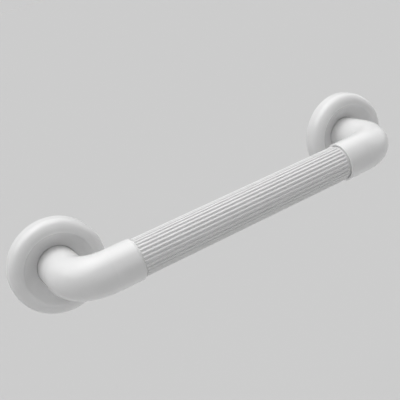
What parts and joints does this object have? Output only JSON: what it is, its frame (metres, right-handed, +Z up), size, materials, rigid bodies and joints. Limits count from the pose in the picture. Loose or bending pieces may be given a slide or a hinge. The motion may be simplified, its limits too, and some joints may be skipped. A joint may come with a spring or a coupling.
{
  "type": "grab bar",
  "caption": "White wall-mounted grab bar with a straight fluted grip tube, smooth right-angle elbows and round dished covers that hide the screw bases.",
  "frame": {"origin": "on the wall plane, midway between the centres of the two fixing bases", "axes": "+X along the bar, +Y into the wall (the bar stands off towards -Y), +Z up"},
  "size_m": [0.387, 0.0775, 0.082],
  "materials": {
    "moulded_white": "gloss",
    "grip_white": "satin",
    "screw_steel": "bright"
  },
  "bodies": {
    "root": {"grip_tube": "grip_white", "left_elbow": "moulded_white", "right_elbow": "moulded_white", "left_cover": "moulded_white", "right_cover": "moulded_white", "left_tube_screw": "screw_steel", "right_tube_screw": "screw_steel"}
  },
  "joints": []
}
